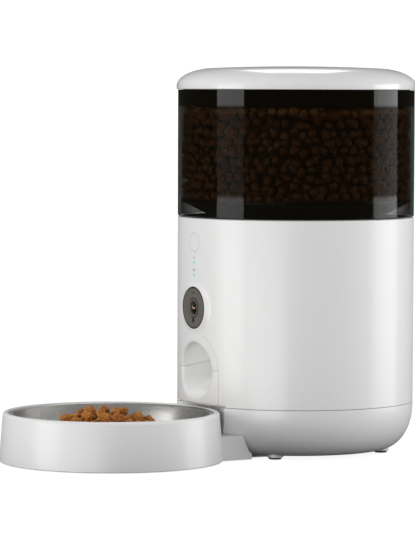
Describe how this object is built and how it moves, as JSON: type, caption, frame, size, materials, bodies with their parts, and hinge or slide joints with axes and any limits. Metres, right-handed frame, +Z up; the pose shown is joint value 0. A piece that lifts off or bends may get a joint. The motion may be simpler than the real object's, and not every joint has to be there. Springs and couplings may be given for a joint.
{
  "type": "automatic pet feeder",
  "caption": "Round white automatic pet feeder: smoked lift-off hopper with domed lid, vane rotor, camera and outlet in front, plug-in holder with a steel bowl.",
  "frame": {"origin": "centre of the whole footprint, tower and bowl together, on the surface it stands on", "axes": "+Z up, -Y the front with outlet and bowl, +X the feeder's left-hand side seen from behind; the tower's axis is parallel to Z"},
  "size_m": [0.1924, 0.3532, 0.309],
  "materials": {
    "white_plastic": "satin moulded, lightly pearled",
    "inner_plastic": "moulded, unpolished",
    "chassis_plastic": "moulded, unpolished",
    "gear_plastic": "natural acetal",
    "brass": "machined",
    "fastener_steel": "zinc plated",
    "bowl_steel": "satin brushed stainless",
    "smoke_plastic": "clear smoked, polished",
    "smoke_inner": "smoked, moulded",
    "rubber": "matte",
    "silicone": "soft matte",
    "rotor_plastic": "moulded",
    "circuit_board": "solder mask",
    "black_plastic": "moulded",
    "camera_face": "fine grained",
    "lens_ring": "polished black",
    "lens_glass": "coated lens",
    "light_pipe": "clear teal",
    "cell_can": "printed sleeve",
    "lead_wire": "insulation",
    "desiccant_paper": "nonwoven paper"
  },
  "bodies": {
    "tower": {"base_shell": "white_plastic", "rubber_feet": "rubber", "battery_door": "white_plastic", "door_screw": "fastener_steel", "battery_cells": "cell_can", "battery_contacts": "brass", "case_screws": "fastener_steel", "body_shell": "white_plastic", "outlet_arch": "white_plastic", "chute_duct": "inner_plastic", "drop_sensors": "black_plastic", "chassis_frame": "chassis_plastic", "hopper_deck": "inner_plastic", "gearbox_case": "gear_plastic", "gearbox_cover": "gear_plastic", "shaft_bush": "brass", "idler_axle": "fastener_steel", "feed_motor": "fastener_steel", "motor_leads": "lead_wire", "main_board": "circuit_board", "front_board": "circuit_board", "power_inlet": "black_plastic", "inlet_pin": "brass", "speaker": "black_plastic", "led_light_pipes": "light_pipe", "camera_bezel": "white_plastic", "camera_face": "camera_face", "lens_ring": "lens_ring", "camera_lens": "lens_glass", "light_sensor": "black_plastic", "camera_module": "circuit_board"},
    "hopper": {"hopper_shell": "smoke_plastic", "hopper_funnel": "smoke_inner", "outlet_wiper": "silicone"},
    "rotor": {"rotor_hub": "rotor_plastic", "rotor_vanes": "silicone", "stirrer": "rotor_plastic"},
    "drive_gear": {"drive_gear": "gear_plastic"},
    "idler_gear": {"idler_gear": "gear_plastic"},
    "motor_pinion": {"motor_pinion": "brass"},
    "lid": {"lid_shell": "white_plastic", "lid_liner": "black_plastic", "lid_seal": "silicone", "lid_screws": "fastener_steel", "desiccant_bag": "desiccant_paper"},
    "desiccant_cap": {"desiccant_cap": "inner_plastic"},
    "feed_button": {"feed_button": "white_plastic"},
    "chute_cover": {"chute_cover": "white_plastic"},
    "bowl_holder": {"bowl_holder": "white_plastic", "holder_pads": "rubber"},
    "bowl": {"steel_bowl": "bowl_steel"}
  },
  "joints": [
    {"name": "rotor_spin", "type": "hinge", "parent": "hopper", "child": "rotor", "pos_m": [0, 0.08035, 0.168], "axis": [0, 0, 1], "continuous": true},
    {"name": "drive_gear_spin", "type": "hinge", "parent": "tower", "child": "drive_gear", "pos_m": [0, 0.08035, 0.142], "axis": [0, 0, 1], "continuous": true},
    {"name": "idler_gear_spin", "type": "hinge", "parent": "tower", "child": "idler_gear", "pos_m": [0, 0.10235, 0.135], "axis": [0, 0, 1], "continuous": true},
    {"name": "motor_pinion_spin", "type": "hinge", "parent": "tower", "child": "motor_pinion", "pos_m": [0, 0.12235, 0.132], "axis": [0, 0, 1], "continuous": true},
    {"name": "hopper_lift", "type": "slide", "parent": "tower", "child": "hopper", "axis": [0, 0, 1], "range_m": [0, 0.15]},
    {"name": "lid_lift", "type": "slide", "parent": "hopper", "child": "lid", "axis": [0, 0, 1], "range_m": [0, 0.12]},
    {"name": "desiccant_cap_twist", "type": "hinge", "parent": "lid", "child": "desiccant_cap", "pos_m": [0, 0.08035, 0.277], "axis": [0, 0, 1], "range_deg": [0, 30]},
    {"name": "feed_button_press", "type": "slide", "parent": "tower", "child": "feed_button", "axis": [0, 1, 0], "range_m": [0, 0.0008], "stiffness_N_per_m": 600},
    {"name": "chute_cover_pull", "type": "slide", "parent": "tower", "child": "chute_cover", "axis": [0, -0.9877, -0.1564], "range_m": [0, 0.031]},
    {"name": "bowl_holder_slide", "type": "slide", "parent": "tower", "child": "bowl_holder", "axis": [0, -1, 0], "range_m": [0, 0.06]},
    {"name": "bowl_tilt", "type": "hinge", "parent": "bowl_holder", "child": "bowl", "pos_m": [0, -0.00965, 0.0374], "axis": [-1, 0, 0], "range_deg": [0, 25]}
  ],
  "couplings": [
    {"joint": "drive_gear_spin", "follows": "rotor_spin", "ratio": 1},
    {"joint": "idler_gear_spin", "follows": "rotor_spin", "ratio": -2.6667},
    {"joint": "motor_pinion_spin", "follows": "rotor_spin", "ratio": 8}
  ]
}
